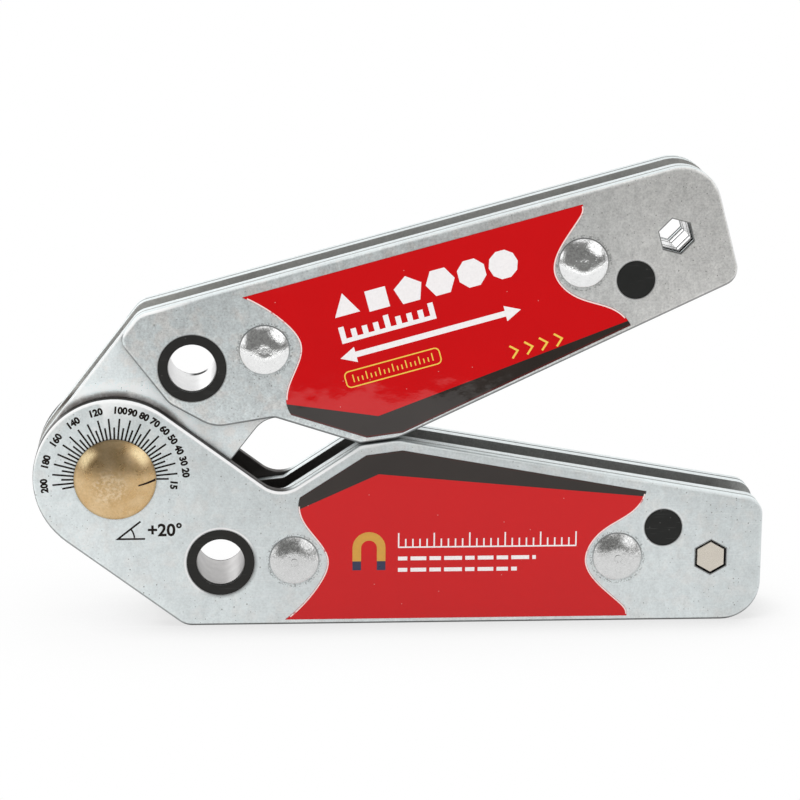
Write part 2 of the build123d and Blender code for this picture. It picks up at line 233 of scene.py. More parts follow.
class Surface(NodeBuilder):
    """A material being built, with places in millimetres."""

    def __init__(self, name):
        self.material = bpy.data.materials.new(name)
        self.material.use_nodes = True
        super().__init__(self.material.node_tree)
        self.bsdf = self.add("ShaderNodeBsdfPrincipled")
        self.output = self.add("ShaderNodeOutputMaterial")
        self.tree.links.new(self.bsdf.outputs[0], self.output.inputs["Surface"])
        coordinates = self.add("ShaderNodeTexCoord")
        self.object_normal = coordinates.outputs["Normal"]
        self.geometry = self.add("ShaderNodeNewGeometry")
        self.place = self.scaled(coordinates.outputs["Object"], (1 / MM,) * 3)
        split = self.add("ShaderNodeSeparateXYZ", Vector=self.place)
        self.depth_place = split.outputs[1]
        self.height_place = split.outputs[2]
        front = self.add("ShaderNodeCombineXYZ", X=split.outputs[0], Y=self.height_place)
        self.front_place = front.outputs[0]

    def scaled(self, vector, scale, shift=(0, 0, 0), turn=(0, 0, 0)):
        node = self.add("ShaderNodeMapping", Vector=vector)
        node.inputs["Scale"].default_value = scale
        node.inputs["Location"].default_value = shift
        node.inputs["Rotation"].default_value = turn
        return node.outputs[0]

    def noise(self, size, detail=2.0, rough=0.5, stretch=(1, 1, 1), turn=(0, 0, 0), seed=0.0):
        """Noise with features of about `size` millimetres, stretched by `stretch`."""
        scale = tuple(1 / (size * s) for s in stretch)
        vector = self.scaled(self.place, scale, (seed, 2 * seed, 3 * seed), turn)
        node = self.add("ShaderNodeTexNoise", Vector=vector, Scale=1.0, Detail=detail, Roughness=rough)
        return node.outputs["Fac"]

    def specks(self, cell, radius, share, seed=0.0):
        """Mask of specks that look round from the front, one in some of the cells."""
        vector = self.scaled(self.front_place, (1 / cell,) * 3, (seed, seed, 0))
        node = self.add("ShaderNodeTexVoronoi", Vector=vector, Scale=1.0)
        node.voronoi_dimensions = "2D"
        near = self.step(node.outputs["Distance"], radius / cell, 0.4 * radius / cell)
        pick = self.add("ShaderNodeSeparateColor", Color=node.outputs["Color"]).outputs[0]
        return self.product(near, self.math("LESS_THAN", pick, share))

    def scratches(self, length, width, low, seed, turn):
        """Mask of fine scratches along one direction in the XZ plane."""
        streak = self.noise(width, 1.0, 0.4, (length / width, 1, 1), (0, turn, 0), seed)
        return self.step(streak, low, low + 0.05)

    def rounded_normal(self, radius):
        """The normal as if edges were rounded, with a radius in millimetres."""
        bevel = self.add("ShaderNodeBevel", Radius=radius * MM)
        bevel.samples = MASK_SAMPLES
        return bevel.outputs[0]

    def edge(self, radius, low=0.02, high=0.2):
        """Mask of convex and concave edges, within a radius in millimetres."""
        bend = self.invert(self.dot(self.rounded_normal(radius), self.geometry.outputs["Normal"]))
        return self.step(bend, low, high)

    def shade(self, distance):
        """Ambient occlusion within a distance in millimetres, 1 where open."""
        node = self.add("ShaderNodeAmbientOcclusion", Distance=distance * MM)
        node.samples = MASK_SAMPLES
        return node.outputs["AO"]

    def arm_place(self, arm):
        """Millimetres along and across an arm from the pivot."""
        along, across = ARM_AXES[arm]
        from_pivot = self.minus(self.place, tuple(PIVOT / MM))
        return self.dot(from_pivot, tuple(along)), self.dot(from_pivot, tuple(across))

    def distance_from(self, x, y, centre_x=0.0, centre_y=0.0):
        along = self.math("SUBTRACT", x, centre_x)
        across = self.math("SUBTRACT", y, centre_y)
        return self.math("SQRT", self.fit(along, along, self.product(across, across)))

    def hexagon_distance(self, x, y, centre_x, centre_y):
        """Distance from a centre, measured square to a hexagon's flats. Two flats face along the arm."""
        along = self.math("SUBTRACT", x, centre_x)
        across = self.math("SUBTRACT", y, centre_y)
        far = self.math("ABSOLUTE", along)
        for angle in (radians(60), radians(120)):
            towards_flat = self.fit(across, sin(angle), self.product(along, cos(angle)))
            far = self.highest(far, self.math("ABSOLUTE", towards_flat))
        return far

    def line(self, x, start, end):
        """Height at x of the straight line through two points."""
        slope = (end[1] - start[1]) / (end[0] - start[0])
        return self.fit(x, slope, start[1] - slope * start[0])

    def bump(self, height, strength, distance):
        node = self.add("ShaderNodeBump", Height=height, Strength=strength, Distance=distance * MM)
        return node.outputs[0]

    def finish(self, colour, roughness, metallic, normal=None, **more):
        self.put(self.bsdf.inputs["Base Color"], colour)
        self.put(self.bsdf.inputs["Roughness"], roughness)
        self.put(self.bsdf.inputs["Metallic"], metallic)
        if normal is not None:
            self.put(self.bsdf.inputs["Normal"], normal)
        for key, value in more.items():
            self.put(self.bsdf.inputs[key.replace("_", " ")], value)
        return self.material


# ---- zinc plates ----
# Distances are in millimetres. x and y are arm millimetres: along from the pivot, across to the other arm.
HEX_FLAT = 4.35             # centre to flat of the hexagonal windows
HEX_AROUND = 6.0            # a circle just outside the windows
TIP_FROM = 140.0            # the arm's tip has more wear beyond this
TONGUE_PAINTED_LIGHT = 1.25          # painted light: raises the tongue's tone beside the rim of the other arm's hub
# strengths of the painted highlight round the sleeve's ring and round the dowel
RING_GLINT = {"base": 1.0, "swing": 0.0}
DOWEL_GLINT = 0.25
BRIGHT_EDGE_END = {"base": (55.0, 85.0), "swing": (22.0, 40.0)}
WARM_PATCHES = {"base": 0.35, "swing": 0.7}
INSIDE_SHADE_BY_HUB = {"base": (0.12, 0.11, 0.105), "swing": (0.66, 0.66, 0.64)}
SCRATCH_WHITE = (0.95, 0.95, 0.95)
PIT_DARK = (0.16, 0.15, 0.14)
RIVET_PRINT_AND_SHADOW = (0.10, 0.10, 0.10)
BEVEL_HIGHLIGHT = (0.99, 0.99, 0.99)
JOINT_SHADOW = (0.06, 0.06, 0.06)
JOINT_BLACK = (0.03, 0.03, 0.03)
HEX_OUTLINE = (0.05, 0.05, 0.05)
WORN_WHITE = (0.98, 0.98, 0.97)
EDGE_SHADE = (0.16, 0.16, 0.16)
EDGE_LIGHT = (0.99, 0.99, 0.985)
SEAM_AND_GAP_SHADE = (0.04, 0.04, 0.04)
CORNER_SHADE = (0.03, 0.028, 0.026)
HEX_WALL_SHADE = (0.01, 0.01, 0.01)
HUB_SHADE_BROWN = (0.12, 0.085, 0.07)


def pit_mask(s, x, hub_away):
    """Pits and dark specks in patches, denser round the hub's back and at the tip."""
    hub_back = s.product(s.step(hub_away, 17.0, 24.0), s.step(x, 6.0, -8.0))
    dense = s.highest(hub_back, s.step(x, TIP_FROM, 172.0))
    patches = s.highest(s.step(s.noise(16, 2, 0.5, seed=3.3), 0.44, 0.60), dense)
    pits = s.highest(s.specks(3.6, 0.26, 0.22, 2.0), s.specks(1.4, 0.17, 0.13, 5.0))
    return s.product(pits, s.fit(patches, 0.85, 0.15))


def rivet_prints(s, colour, arm, x, y):
    """The print left round each rivet head, and a painted shadow line at the head's edge, darkest above it."""
    crumbs = s.step(s.noise(0.45, 2, 0.7, seed=11.0), 0.50, 0.60)
    for centre_x, centre_y in rivet_centres(arm):
        away = s.distance_from(x, y, centre_x, centre_y)
        middle = height_on(arm, centre_x, centre_y)
        above = s.step(s.height_place, middle - 5.0, middle + 5.0, 0.25, 1.0)
        crumb_ring = s.product(s.peak(away, 7.2, 0.8), crumbs, 0.55)
        # painted shadow: a thin dark line at the head's edge, darkest above the rivet
        shadow_ring = s.product(s.peak(away, 6.85, 0.30), above, 0.8)
        colour = s.mix(s.highest(crumb_ring, shadow_ring), colour, RIVET_PRINT_AND_SHADOW)
    return colour


def disc_joints(s, colour, arm, x, y):
    """A painted highlight on the bevel, a painted shadow at the lower right, and a thin dark joint round the
    sleeve's ring and the dowel.
    """
    for node, glint in ((f"{arm}_sleeve_rings", RING_GLINT[arm]), (f"{arm}_tip_dowel", DOWEL_GLINT)):
        centre_x, centre_y, radius = disc_place(arm, node)
        away = s.distance_from(x, y, centre_x, centre_y)
        middle = centre_x - height_on(arm, centre_x, centre_y)
        lower_right = s.step(s.math("SUBTRACT", x, s.height_place), middle, middle + 9.0)
        bevel = s.product(s.peak(away, radius + 0.46, 0.40), s.invert(lower_right))
        shadow = s.product(s.step(away, radius + 1.3, radius), lower_right)
        # painted highlight on the bevel away from the lower right, painted shadow at the lower right
        colour = s.paint(colour, bevel, glint, BEVEL_HIGHLIGHT)
        colour = s.paint(colour, shadow, 0.55 * glint, JOINT_SHADOW)
        colour = s.paint(colour, s.peak(away, radius + 0.08, 0.20), 0.7, JOINT_BLACK)
    return colour


def open_plate(s, arm, x, y):
    """Mask of the plate, 0 at its hexagonal window, ring and dowel."""
    clear = s.step(s.distance_from(x, y, *hex_centre(arm)), HEX_AROUND, HEX_AROUND + 0.6)
    for node in (f"{arm}_sleeve_rings", f"{arm}_tip_dowel"):
        centre_x, centre_y, radius = disc_place(arm, node)
        away = s.distance_from(x, y, centre_x, centre_y)
        clear = s.product(clear, s.step(away, radius + 0.8, radius + 1.3))
    return clear


def cut_edge_tone(s):
    """Stripes of a cut rim, through its thickness and along it."""
    cut = s.noise(0.5, 2, 0.6, (1, 14, 1), seed=8.0)
    layer = s.noise(0.5, 2, 0.6, (30, 1, 30), seed=12.0)
    return s.fit(cut, 0.24, s.fit(layer, 0.60, 0.55))


def hub_soot(s, hub_away, rim):
    """Painted brownish shade on the tongue along the rim of the other arm's hub."""
    inner_side = s.step(hub_away, HUB_R - 0.5, HUB_R)
    outer_side = s.step(hub_away, HUB_R + 2.1, HUB_R + 0.5)
    uneven = s.step(s.noise(3, 3, 0.6, seed=6.6), 0.2, 0.6, 0.45, 0.8)
    return s.product(inner_side, outer_side, s.invert(rim), uneven)


def rim_soot(s, x, y, rim, catch):
    """Darkens the rim by the hub, mostly for camera rays. It darkens the rim itself, and hardly the plate beside
    it.
    """
    near_hub = s.step(x, 50.0, 46.0)
    rim_darkening = s.product(rim, near_hub, s.step(y, -24.0, -18.0), s.invert(catch))
    seen = s.add("ShaderNodeLightPath").outputs["Is Camera Ray"]
    return s.product(rim_darkening, s.fit(seen, 0.9, 0.1))


def away_from_middle(s):
    """Above zero where a surface faces away from the middle of the stack."""
    return s.product(s.dot(s.geometry.outputs["Normal"], (0, 1, 0)), s.depth_place)


def zinc_plate(name, arm, inside_shade_tone, metal, darkens_hub_rim=False, warm_tip=0.0, contrast=1.0, painted_fades=()):
    """Bright zinc on a steel plate: mottled faces, scuffed rims, pits and fine scratches.

    Each painted fade is (start, end, gain): painted light and shade that change the tone by that gain between two
    places along the arm.
    """
    s = Surface(name)
    x, y = s.arm_place(arm)
    hub_away = s.distance_from(x, y)
    facing = s.math("ABSOLUTE", s.dot(s.geometry.outputs["Normal"], (0, 1, 0)))
    rim = s.step(facing, 0.75, 0.25)
    cloud = s.noise(13, 3, 0.55, (1, 1, 1.6), seed=1.3)
    grain = s.noise(0.55, 3, 0.7, seed=4.1)
    flow = s.noise(2.2, 3, 0.6, (1, 1, 1.8), seed=7.7)
    tone = s.around(cloud, 0.25, 0.95)
    tone = s.around(grain, 0.72 * contrast, tone)
    tone = s.around(flow, 0.40 * contrast, tone)
    # painted light and shade along the arm
    for start, end, gain in painted_fades:
        tone = s.product(tone, s.step(x, start, end, 1.0, gain))
    # painted light: the tongue is lighter beside the rim of the other arm's hub
    if arm == "swing":
        tone = s.product(tone, s.step(hub_away, HUB_R + 5.5, HUB_R + 2.0, 1.0, TONGUE_PAINTED_LIGHT))
    colour = s.brighten(ZINC, tone)
    warm_patch = s.step(s.noise(5, 3, 0.6, seed=9.0), 0.46, 0.66, 0.0, WARM_PATCHES[arm])
    warm = s.highest(warm_patch, s.step(x, 70.0, 170.0, 0.0, warm_tip))
    colour = s.mix(warm, colour, s.brighten(ZINC_WARM, tone))
    hair = s.highest(s.scratches(26, 0.16, 0.67, 1.0, 0.5), s.scratches(20, 0.14, 0.68, 6.0, -0.9))
    colour = s.paint(colour, hair, 0.4, SCRATCH_WHITE)
    pits = pit_mask(s, x, hub_away)
    colour = s.paint(colour, pits, 0.75, PIT_DARK)
    colour = rivet_prints(s, colour, arm, x, y)
    colour = disc_joints(s, colour, arm, x, y)
    outline_at = s.hexagon_distance(x, y, *hex_centre(arm))
    colour = s.paint(colour, s.peak(outline_at, HEX_FLAT + 0.10, 0.22), 0.8, HEX_OUTLINE)
    colour = s.mix(rim, colour, s.brighten(ZINC, cut_edge_tone(s)))
    worn = s.product(s.edge(0.4), s.step(s.noise(3.5, 3, 0.6, seed=2.2), 0.2, 0.5))
    colour = s.paint(colour, worn, 0.5, WORN_WHITE)
    # Rounded edges that face down are in shade, and those that face up catch the light.
    under = s.product(s.step(s.dot(s.object_normal, (0, 0, 1)), -0.15, -0.45), s.step(facing, 0.985, 0.93))
    colour = s.paint(colour, under, 0.75, EDGE_SHADE)
    lifted = s.step(s.dot(s.rounded_normal(0.5), (0, 0, 1)), 0.05, 0.22)
    catch = s.product(lifted, open_plate(s, arm, x, y), s.step(facing, 0.40, 0.65))
    catch = s.product(catch, s.step(x, *BRIGHT_EDGE_END[arm], 1.0, 0.1))
    colour = s.paint(colour, catch, 0.9, EDGE_LIGHT)
    # A dark seam between the two plates of a side, widened as painted shade of the gap, and painted shade in the
    # corners.
    off_middle = s.math("ABSOLUTE", s.depth_place)
    seam_with_shade = s.product(s.peak(off_middle, PLATE_SEAM[arm], 0.7), rim)
    colour = s.paint(colour, seam_with_shade, 0.9, SEAM_AND_GAP_SHADE)
    # painted shade in the corners, from ambient occlusion
    corner_shade = s.product(s.step(s.shade(1.2), 0.80, 0.45), s.fit(rim, -0.6, 0.85))
    colour = s.mix(corner_shade, colour, CORNER_SHADE)
    # Painted shade: faces towards the middle of the stack are duller and take a darker tone, with a separate tone
    # by the hub.
    inside = s.product(s.math("LESS_THAN", away_from_middle(s), 0.0), s.invert(rim))
    inner_shade_colour = s.mix(s.step(x, 50.0, 85.0), INSIDE_SHADE_BY_HUB[arm], inside_shade_tone)
    colour = s.mix(inside, colour, s.brighten(inner_shade_colour, tone))
    # Painted shade: the walls of the hexagonal window are dark at both ends, without sheen or specular.
    near_hex = s.step(s.distance_from(x, y, *hex_centre(arm)), HEX_AROUND, HEX_AROUND - 0.4)
    depth = s.math("SUBTRACT", PLATE_HALF[arm], off_middle)
    ends = s.highest(s.step(depth, 1.1, 0.9), s.step(depth, 2.0, 2.2))
    wall_shade = s.product(rim, near_hex, ends)
    colour = s.mix(wall_shade, colour, HEX_WALL_SHADE)
    # painted brownish shade on the tongue beside the other arm's hub
    if arm == "swing":
        colour = s.mix(hub_soot(s, hub_away, rim), colour, HUB_SHADE_BROWN)
    # the rim by the hub is darker, mostly for camera rays
    if darkens_hub_rim:
        colour = s.mix(rim_soot(s, x, y, rim, catch), colour, RIM_BLACK)
    rough = s.fit(s.noise(1.7, 3, 0.6, seed=5.5), 0.24, 0.33)
    rough = s.fit(rim, 0.02, rough)
    even = s.highest(rim, s.product(inside, 0.7))
    open_face = s.invert(wall_shade)
    sheen = s.product(s.fit(even, 1.0 - metal, metal), open_face, s.fit(catch, -0.85, 1.0))
    height = s.fit(pits, -1.5, s.math("ADD", grain, s.product(flow, 0.6)))
    normal = s.bump(height, 0.35, 0.08)
    return s.finish(colour, rough, sheen, normal, Specular_IOR_Level=s.product(open_face, 0.5))


# ---- other materials ----
RIVET_ALUMINIUM = (0.95, 0.955, 0.95)
RIVET_SPECK = (0.3, 0.3, 0.3)


def formed_rivet(name, shine, roughness):
    """Formed aluminium head: bright, finely hammered, with a few small dents."""
    s = Surface(name)
    peel = s.noise(0.5, 2, 0.7, seed=3.0)
    grain = s.noise(0.62, 2, 0.8, seed=13.0)
    dents = s.specks(2.6, 0.34, 0.30, 1.0)
    swirl = s.noise(2.2, 3, 0.6, seed=6.0)
    upper_side = s.step(s.dot(s.object_normal, (0.1, 0, 0.995)), -0.02, 0.12, 0.15, 1.0)
    painted_grain = s.product(s.math("SUBTRACT", grain, 0.5), upper_side)
    tone = s.fit(painted_grain, 1.5, s.around(swirl, 0.16, shine))
    colour = s.brighten(RIVET_ALUMINIUM, tone)
    colour = s.paint(colour, s.specks(1.3, 0.13, 0.25, 9.0), 0.5, RIVET_SPECK)
    rough = s.fit(s.noise(0.8, 4, 0.7, seed=2.0), 0.20, roughness)
    height = s.fit(dents, -0.7, s.fit(peel, 1.1, s.product(swirl, 0.8)))
    return s.finish(colour, rough, 1.0, s.bump(height, 0.5, 0.07))


DOME_MM = DOME_R / MM
BRASS_RED, BRASS_YELLOW = (0.76, 0.51, 0.245), (0.79, 0.575, 0.325)
BRASS_SPECK = (0.25, 0.14, 0.05)
BRASS_PALE, BRASS_DARK = (0.95, 0.80, 0.58), (0.45, 0.30, 0.14)
BRASS_GLINT = (0.95, 0.76, 0.44)
RING_PITCH = 0.42           # of the turning marks
PEENED_AT = (-1.5, 0, -2.0)
GLINTS_AT = ((-7.0, 0, 5.8), (6.3, 0, 6.2))


def satin_brass():
    """Turned brass dome: faint turning rings, a peened centre and two painted golden highlights near its rim."""
    s = Surface("pivot_brass")
    flat = s.operate("ShaderNodeVectorMath", "MULTIPLY", (s.minus(s.place, tuple(PIVOT / MM)), (1, 0, 1)))
    flat = flat.outputs[0]
    radius = s.length(flat)
    rings = s.math("SINE", s.product(radius, 2 * pi / RING_PITCH))
    cloud = s.noise(5.5, 3, 0.6, seed=2.5)
    grain = s.noise(0.55, 3, 0.65, seed=8.5)
    tone = s.fit(cloud, 0.40, s.fit(grain, 0.40, 0.53))
    colour = s.brighten(s.mix(s.step(cloud, 0.35, 0.7), BRASS_RED, BRASS_YELLOW), tone)
    colour = s.paint(colour, s.specks(2.3, 0.14, 0.4, 3.0), 0.5, BRASS_SPECK)
    # painted shade: the dome darkens towards its rim
    colour = s.brighten(colour, s.step(radius, DOME_MM, DOME_MM - 0.8, 0.70, 1.0))
    centre = s.step(s.length(s.minus(flat, PEENED_AT)), 6.5, 3.0)
    blotches = s.noise(1.0, 3, 0.7, seed=1.1)
    colour = s.paint(colour, s.product(s.step(blotches, 0.50, 0.58), centre), 0.42, BRASS_PALE)
    colour = s.paint(colour, s.product(s.step(blotches, 0.46, 0.38), centre), 0.35, BRASS_DARK)
    # painted highlights: two golden glints near the rim, less metallic there
    from_glint = s.lowest(*(s.length(s.minus(flat, place)) for place in GLINTS_AT))
    near_rim = s.step(radius, 0.66 * DOME_MM, 0.86 * DOME_MM)
    glint = s.product(s.step(from_glint, 4.4, 1.0), near_rim, s.fit(grain, 1.0, 0.45))
    colour = s.mix(glint, colour, BRASS_GLINT)
    rough = s.fit(cloud, 0.16, s.fit(centre, 0.08, 0.20))
    height = s.fit(s.product(blotches, centre), 4.5, s.fit(rings, 0.22, grain))
    metallic = s.fit(glint, -0.8, 1.0)
    return s.finish(colour, rough, metallic, s.bump(height, 0.45, 0.06))


# Film layout in arm millimetres: along the arm, across towards the other arm.
RED_ROOF = {
    "base": ((50.4, -9.2), (72.6, 0.8), (147.1, -6.3)),
    "swing": ((51.4, -7.4), (74.4, 2.5), (147.8, -4.9)),
}
FILM_BORDER_LINE = {
    "base": ((50.8, -5.7), (69.2, 6.2), (79.2, 7.5), (147.3, -4.8)),
    "swing": ((51.4, -4.3), (69.8, 7.6), (79.8, 8.9), (147.9, -3.4)),
}
FILM_BORDER_STRENGTH = {"base": 0.05, "swing": 0.3}


def printed_film(arm):
    """Glossy vinyl: red, with a black band above the roof line and a dark red border at the edge."""
    s = Surface(f"film_{arm}")
    x, y = s.arm_place(arm)
    roof = RED_ROOF[arm]
    border = FILM_BORDER_LINE[arm]
    ridge = s.lowest(s.line(x, roof[0], roof[1]), s.line(x, roof[1], roof[2]))
    band = s.step(s.math("SUBTRACT", y, ridge), -0.06, 0.06)
    limit = s.lowest(s.line(x, border[0], border[1]), s.line(x, border[1], border[2]))
    limit = s.lowest(limit, s.line(x, border[2], border[3]))
    margin = s.step(s.math("SUBTRACT", limit, y), 0.55, 0.40)
    cloud = s.noise(14, 2, 0.5, seed=1.0)
    red = s.brighten(FILM_RED, s.fit(cloud, 0.08, 0.96))
    black = s.brighten(FILM_BLACK, s.fit(cloud, 0.5, 0.75))
    colour = s.paint(s.mix(band, red, black), margin, FILM_BORDER_STRENGTH[arm], FILM_BORDER)
    dust = s.specks(9.0, 0.16, 0.22, 4.0)
    colour = s.paint(colour, dust, 0.5, FILM_DUST)
    rub = s.scratches(22, 0.2, 0.70, 2.0, 0.3)
    rough = s.fit(rub, 0.15, s.fit(s.noise(6, 3, 0.6, seed=4.0), 0.06, 0.01))
    ripple = s.product(s.noise(1.6, 2, 0.5, seed=7.0), 0.25)
    wave = s.fit(s.noise(11, 2, 0.45, seed=6.0), 4.6, ripple)
    normal = s.bump(s.fit(dust, 0.6, wave), 0.5, 0.05)
    return s.finish(colour, rough, 0.0, normal, Specular_IOR_Level=0.35)


def cut_paper(name):
    """The pale cut edge of a film, uneven along its length."""
    s = Surface(name)
    patch = s.noise(2.2, 3, 0.65, seed=5.0)
    colour = s.mix(s.step(patch, 0.60, 0.72), FILM_PAPER, PAPER_STAINED)
    return s.finish(colour, 0.5, 0.0, s.bump(patch, 0.2, 0.03))


def print_ink(name, colour, wear=0.10, gloss=0.5):
    """Screen-printed ink: slightly uneven, less glossy than the film."""
    s = Surface(name)
    patch = s.noise(0.8, 3, 0.6, seed=3.0)
    tone = s.fit(patch, 2 * wear, 1 - wear)
    rough = s.fit(s.noise(2, 2, 0.5, seed=1.0), 0.2, 0.22)
    normal = s.bump(patch, 0.1, 0.02)
    return s.finish(s.brighten(colour, tone), rough, 0.0, normal, Specular_IOR_Level=gloss)


def black_moulding(name, colour):
    """Moulded black part: fine moulding grain, small nicks, a darker rim."""
    s = Surface(name)
    grain = s.noise(0.35, 3, 0.7, seed=2.0)
    cloud = s.noise(4, 3, 0.6, seed=5.0)
    base = s.brighten(colour, s.fit(cloud, 0.5, s.fit(grain, 0.3, 0.62)))
    base = s.mix(s.edge(0.5), base, MOULDING_EDGE)
    nicks = s.specks(3.0, 0.22, 0.3, 7.0)
    base = s.paint(base, nicks, 0.35, MOULDING_NICK)
    base = s.paint(base, s.scratches(9, 0.18, 0.68, 3.0, 0.8), 0.3, MOULDING_SCUFF)
    rough = s.fit(cloud, 0.2, 0.40)
    height = s.fit(nicks, -2.0, grain)
    return s.finish(base, rough, 0.0, s.bump(height, 0.25, 0.05), Specular_IOR_Level=0.25)


EVERYWHERE = (0, 0, 0)
LOWEST_WALL = (-0.3, 0, 0.95)


def machined(name, colour, roughness, feed=0.5, mottle=0.14, shade_bands=()):
    """Turned or drawn bright metal: marks along its length in y, and bands of painted shade at some depths.

    A shade band is (depth, half width, facing): it shows on the walls that face that way.
    """
    s = Surface(name)
    marks = s.noise(feed, 2, 0.6, (1, 4, 1), seed=2.0)
    cloud = s.noise(4, 3, 0.5, seed=5.0)
    tone = s.around(marks, 0.12 + 0.5 * mottle, s.around(cloud, mottle, 0.91))
    base = s.brighten(colour, tone)
    base = s.paint(base, s.edge(0.25), 0.5, tuple(min(1.0, 1.15 * c) for c in colour))
    open_wall = 1.0
    # painted shade: dark bands, without sheen or specular
    for depth, half, direction in shade_bands:
        band = s.peak(s.depth_place, depth, half)
        if direction != EVERYWHERE:
            band = s.product(band, s.step(s.dot(s.object_normal, direction), 0.88, 0.97))
        base = s.paint(base, band, 0.9, BAND_SHADE)
        open_wall = s.product(open_wall, s.invert(band))
    rough = s.fit(marks, 0.18, roughness)
    specular = s.product(open_wall, 0.5)
    return s.finish(base, rough, open_wall, s.bump(marks, 0.15, 0.03), Specular_IOR_Level=specular)


def dull_solid(name, colour, roughness=0.6, metallic=0.0):
    """Moulded carrier, magnets and washers, seen only in the gaps."""
    s = Surface(name)
    grain = s.noise(0.6, 3, 0.7, seed=1.0)
    cloud = s.noise(6, 3, 0.6, seed=2.0)
    tone = s.fit(cloud, 0.5, s.fit(grain, 0.3, 0.6))
    rough = s.fit(grain, 0.2, roughness)
    return s.finish(s.brighten(colour, tone), rough, metallic, s.bump(grain, 0.3, 0.05))


def dress(node, material):
    """Gives a CAD node a material and smooth shading split at its real edges."""
    piece = nodes[node]
    piece.data.materials.clear()
    piece.data.materials.append(material)
    piece.data.polygons.foreach_set("use_smooth", [True] * len(piece.data.polygons))
    weld = piece.modifiers.new("weld", "WELD")
    weld.merge_threshold = 1e-6
    split = piece.modifiers.new("split", "EDGE_SPLIT")
    split.split_angle = radians(32)


# tones of painted shade for the faces towards the middle of the stack
DEEP_INSIDE_SHADE = (0.12, 0.11, 0.105)
INNER_FACE_SHADE = (0.50, 0.51, 0.50)
TONGUE_INSIDE = (0.66, 0.66, 0.64)
# painted light and shade: tone fades along each arm
BASE_PAINTED_FADES = ((45, -10, 1.14), (20, 80, 0.935), (125, 140, 1.06), (158, 174, 0.90))
SWING_PAINTED_FADES = ((40, 0, 1.04), (60, 120, 0.94))
TONGUE_PAINTED_FADES = ((60, 10, 1.12),)


def plate_materials():
    return {
        "base_outer": zinc_plate("zinc_base_outer", "base", DEEP_INSIDE_SHADE, 0.72, darkens_hub_rim=True, contrast=0.62,
                                 painted_fades=BASE_PAINTED_FADES),
        "base_inner": zinc_plate("zinc_base_inner", "base", INNER_FACE_SHADE, 0.8),
        "swing_outer": zinc_plate("zinc_swing_outer", "swing", ZINC_GREY, 0.76, warm_tip=0.9, contrast=1.25,
                                  painted_fades=SWING_PAINTED_FADES),
        "swing_inner": zinc_plate("zinc_swing_inner", "swing", TONGUE_INSIDE, 0.3, contrast=0.7,
                                  painted_fades=TONGUE_PAINTED_FADES),
    }


def dress_arms():
    """Gives the nodes that both arms have their materials."""
    zinc = plate_materials()
    rivet = {
        "base": formed_rivet("rivet_satin", 0.76, 0.15),
        "swing": formed_rivet("rivet_polished", 0.97, 0.05),
    }
    # bands of painted shade for the sleeve's bore and the hex bushing
    sleeve_shade_band = (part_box("swing_lever_sleeve")[1].y / MM - 0.8, 2.2, LOWEST_WALL)
    bushing_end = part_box("swing_hex_bushing")[1].y / MM
    bushing_shade_bands = [
        (sign * (bushing_end - inset), 0.8, EVERYWHERE)
        for sign in (-1, 1)
        for inset in (0.8, 4.2)
    ]
    sleeve = {
        "base": machined("sleeve_grey", (0.45, 0.44, 0.435), 0.24, mottle=0.5),
        "swing": machined("sleeve_bright", (0.82, 0.82, 0.82), 0.22, mottle=0.2, shade_bands=[sleeve_shade_band]),
    }
    shared = {
        "magnet_carrier": dull_solid("carrier_plastic", (0.03, 0.03, 0.03)),
        "magnets": dull_solid("magnet_ferrite", (0.06, 0.06, 0.065), 0.5, 0.3),
        "rivet_spacers": machined("spacer_steel", (0.6, 0.6, 0.6), 0.30),
        "sleeve_rings": black_moulding("ring_rubber", (0.0175, 0.017, 0.0155)),
        "tip_dowel": black_moulding("dowel_nylon", (0.013, 0.0135, 0.0125)),
        "hex_bushing": machined("bushing_bright", (0.95, 0.95, 0.95), 0.16, shade_bands=bushing_shade_bands),
    }
    for arm in BODY:
        film = printed_film(arm)
        for side in SIDES:
            dress(f"{arm}_outer_plate_{side}", zinc[f"{arm}_outer"])
            dress(f"{arm}_inner_plate_{side}", zinc[f"{arm}_inner"])
            dress(f"{arm}_label_{side}", film)
        dress(f"{arm}_lever_sleeve", sleeve[arm])
        dress(f"{arm}_rivets", rivet[arm])
        for part, material in shared.items():
            dress(f"{arm}_{part}", material)
    dress("pivot_spacer", shared["rivet_spacers"])


dress_arms()
brass = satin_brass()
dress("pivot_pin", brass)
dress("pivot_rear_cap", brass)
dress("base_hex_plug", machined("plug_nickel", (0.79, 0.73, 0.64), 0.20, 0.8))
dress("friction_washers", dull_solid("washer_fibre", (0.05, 0.025, 0.015)))


# ---- flat graphics as thin printed solids ----
INK_T = 0.035 * MM
INK_SINK = 0.01 * MM


def ribbon(points, width, closed=False):
    """Outline quads of a stroke with mitred corners."""
    pts = [Vector(p) for p in points]
    count = len(pts)
    sides = []
    for i, here in enumerate(pts):
        before = pts[i - 1] if (closed or i > 0) else None
        after = pts[(i + 1) % count] if (closed or i < count - 1) else None
        directions = []
        if before is not None:
            directions.append((here - before).normalized())
        if after is not None:
            directions.append((after - here).normalized())
        along = sum(directions, Vector((0, 0))).normalized()
        normal = Vector((-along.y, along.x))
        spread = width / 2 / max(0.3, along.dot(directions[0]))
        sides.append((here + normal * spread, here - normal * spread))
    spans = count if closed else count - 1
    return [
        (sides[i][1], sides[(i + 1) % count][1], sides[(i + 1) % count][0], sides[i][0])
        for i in range(spans)
    ]


def box(left, bottom, right, top):
    return [((left, bottom), (right, bottom), (right, top), (left, top))]


def arc_points(centre, radius, start, end, steps):
    """Points on an arc, angles in degrees."""
    turn = [radians(start + (end - start) * i / steps) for i in range(steps + 1)]
    return [(centre[0] + radius * cos(a), centre[1] + radius * sin(a)) for a in turn]


